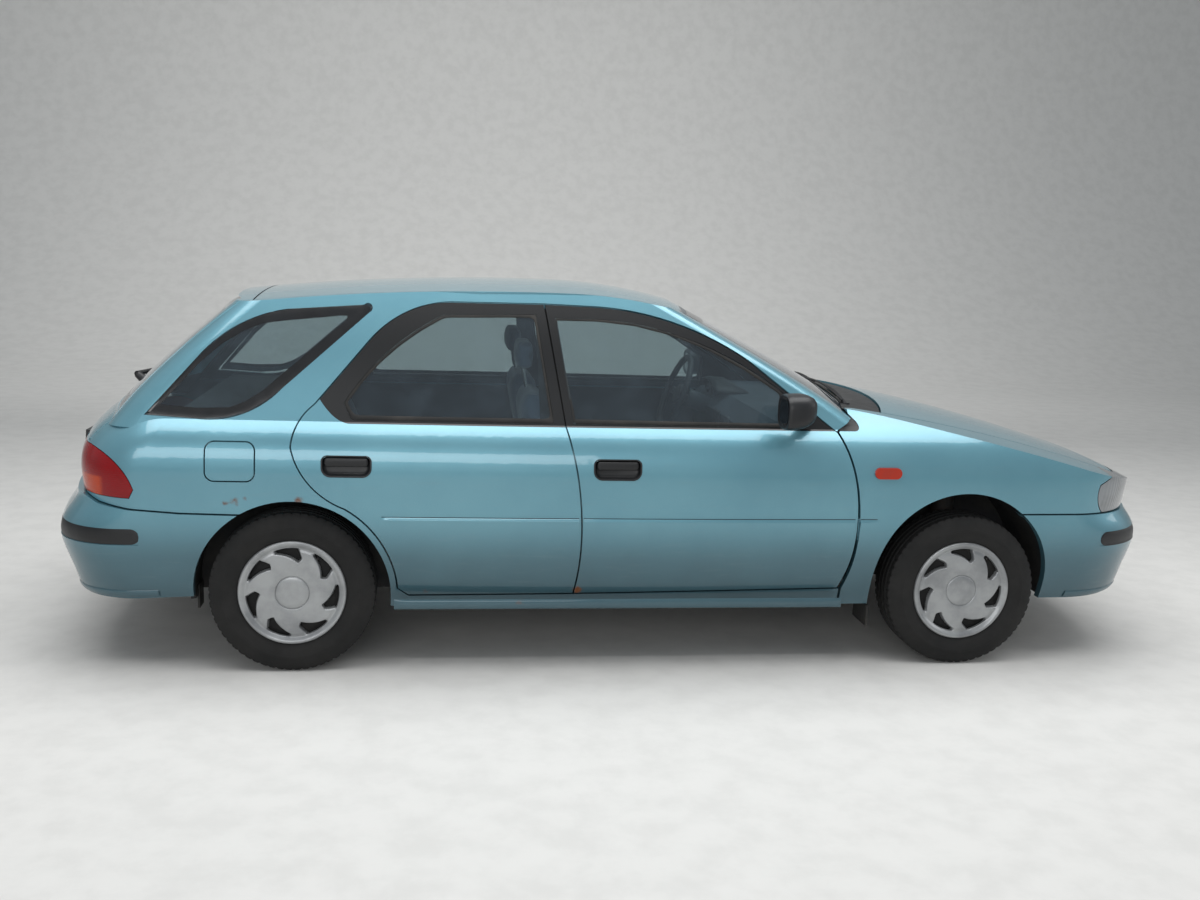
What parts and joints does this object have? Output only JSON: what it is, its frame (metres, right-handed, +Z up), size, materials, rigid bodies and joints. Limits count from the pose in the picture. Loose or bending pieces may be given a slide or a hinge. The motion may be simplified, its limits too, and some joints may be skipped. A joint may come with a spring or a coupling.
{
  "type": "five-door hatchback",
  "caption": "Small family car with side-hinged doors, a sloping tailgate, a bonnet, a filler flap, steered front wheels and plastic wheel covers; everything rolls, turns or opens.",
  "frame": {"origin": "on the ground below the middle of the car, midway between the axles", "axes": "+X towards the front bumper, +Y towards the car's left side, +Z up"},
  "size_m": [4.3451, 1.92, 1.4072],
  "materials": {
    "body_paint": "metallic gloss",
    "black_trim": "satin",
    "clear_glass": "clear",
    "black_edged_glass": "clear",
    "lamp_clear": "ribbed",
    "lamp_red": "gloss",
    "lamp_amber": "gloss",
    "underbody": "matt",
    "cast_metal": "rough",
    "steel": "satin",
    "seat_cloth": "woven",
    "cabin_plastic": "grained",
    "tyre_rubber": "matt",
    "flap_rubber": "matt",
    "cover_silver": "satin",
    "axle_paint": "rough"
  },
  "bodies": {
    "body": {"floor_pan": "underbody", "boot_floor": "underbody", "engine_bay": "underbody", "side_frame_right": "body_paint", "side_frame_left": "body_paint", "roof_panel": "body_paint", "wing_right": "body_paint", "wing_left": "body_paint", "front_bumper": "body_paint", "rear_bumper": "body_paint", "windscreen": "clear_glass", "quarter_windows": "black_edged_glass", "cowl_panel": "black_trim", "grille": "black_trim", "headlamps": "lamp_clear", "tail_lamps": "lamp_red", "side_repeaters": "lamp_amber", "engine": "cast_metal", "exhaust": "steel", "fuel_tank": "black_trim", "front_axle": "axle_paint", "rear_axle": "axle_paint", "dashboard": "cabin_plastic", "front_seats": "seat_cloth", "rear_seat": "seat_cloth", "parcel_shelf": "cabin_plastic", "mud_flaps": "flap_rubber"},
    "door_front_right": {"door_front_right": "body_paint", "window_front_right": "clear_glass", "fittings_front_right": "black_trim"},
    "door_front_left": {"door_front_left": "body_paint", "window_front_left": "clear_glass", "fittings_front_left": "black_trim"},
    "door_rear_right": {"door_rear_right": "body_paint", "window_rear_right": "clear_glass", "fittings_rear_right": "black_trim"},
    "door_rear_left": {"door_rear_left": "body_paint", "window_rear_left": "clear_glass", "fittings_rear_left": "black_trim"},
    "tailgate": {"tailgate": "body_paint", "tailgate_glass": "clear_glass"},
    "bonnet": {"bonnet": "body_paint"},
    "fuel_flap": {"fuel_flap": "body_paint"},
    "steering_wheel": {"steering_wheel": "cabin_plastic"},
    "knuckle_right": {"knuckle_right": "axle_paint"},
    "knuckle_left": {"knuckle_left": "axle_paint"},
    "wheel_front_right": {"wheel_front_right": "cover_silver", "tyre_front_right": "tyre_rubber"},
    "wheel_front_left": {"wheel_front_left": "cover_silver", "tyre_front_left": "tyre_rubber"},
    "wheel_rear_right": {"wheel_rear_right": "cover_silver", "tyre_rear_right": "tyre_rubber"},
    "wheel_rear_left": {"wheel_rear_left": "cover_silver", "tyre_rear_left": "tyre_rubber"}
  },
  "joints": [
    {"name": "door_front_right_hinge", "type": "hinge", "parent": "body", "child": "door_front_right", "pos_m": [0.819, -0.845, 0.6], "axis": [0, 0, 1], "range_deg": [0, 65]},
    {"name": "door_front_left_hinge", "type": "hinge", "parent": "body", "child": "door_front_left", "pos_m": [0.819, 0.845, 0.6], "axis": [0, 0, -1], "range_deg": [0, 65]},
    {"name": "door_rear_right_hinge", "type": "hinge", "parent": "body", "child": "door_rear_right", "pos_m": [-0.228, -0.845, 0.6], "axis": [0, 0, 1], "range_deg": [0, 65]},
    {"name": "door_rear_left_hinge", "type": "hinge", "parent": "body", "child": "door_rear_left", "pos_m": [-0.228, 0.845, 0.6], "axis": [0, 0, -1], "range_deg": [0, 65]},
    {"name": "tailgate_hinge", "type": "hinge", "parent": "body", "child": "tailgate", "pos_m": [-1.418, 0, 1.357], "axis": [0, 1, 0], "range_deg": [0, 85]},
    {"name": "bonnet_hinge", "type": "hinge", "parent": "body", "child": "bonnet", "pos_m": [0.945, 0, 0.966], "axis": [0, -1, 0], "range_deg": [0, 50]},
    {"name": "fuel_flap_hinge", "type": "hinge", "parent": "body", "child": "fuel_flap", "pos_m": [-1.3795, -0.8225, 0.773], "axis": [0, 0, 1], "range_deg": [0, 90]},
    {"name": "steer_right", "type": "hinge", "parent": "body", "child": "knuckle_right", "pos_m": [1.26, -0.66, 0.295], "axis": [0, 0, 1], "range_deg": [-33, 33]},
    {"name": "steer_left", "type": "hinge", "parent": "body", "child": "knuckle_left", "pos_m": [1.26, 0.66, 0.295], "axis": [0, 0, 1], "range_deg": [-33, 33]},
    {"name": "steering_wheel_turn", "type": "hinge", "parent": "body", "child": "steering_wheel", "pos_m": [0.329, 0.35, 0.9], "axis": [0.9397, 0, -0.342], "range_deg": [-541, 541]},
    {"name": "wheel_front_right_roll", "type": "hinge", "parent": "knuckle_right", "child": "wheel_front_right", "pos_m": [1.26, -0.725, 0.295], "axis": [0, 1, 0], "continuous": true},
    {"name": "wheel_front_left_roll", "type": "hinge", "parent": "knuckle_left", "child": "wheel_front_left", "pos_m": [1.26, 0.725, 0.295], "axis": [0, 1, 0], "continuous": true},
    {"name": "wheel_rear_right_roll", "type": "hinge", "parent": "body", "child": "wheel_rear_right", "pos_m": [-1.26, -0.725, 0.295], "axis": [0, 1, 0], "continuous": true},
    {"name": "wheel_rear_left_roll", "type": "hinge", "parent": "body", "child": "wheel_rear_left", "pos_m": [-1.26, 0.725, 0.295], "axis": [0, 1, 0], "continuous": true}
  ],
  "couplings": [
    {"joint": "steer_left", "follows": "steer_right", "ratio": 1},
    {"joint": "steering_wheel_turn", "follows": "steer_right", "ratio": -16.364}
  ]
}
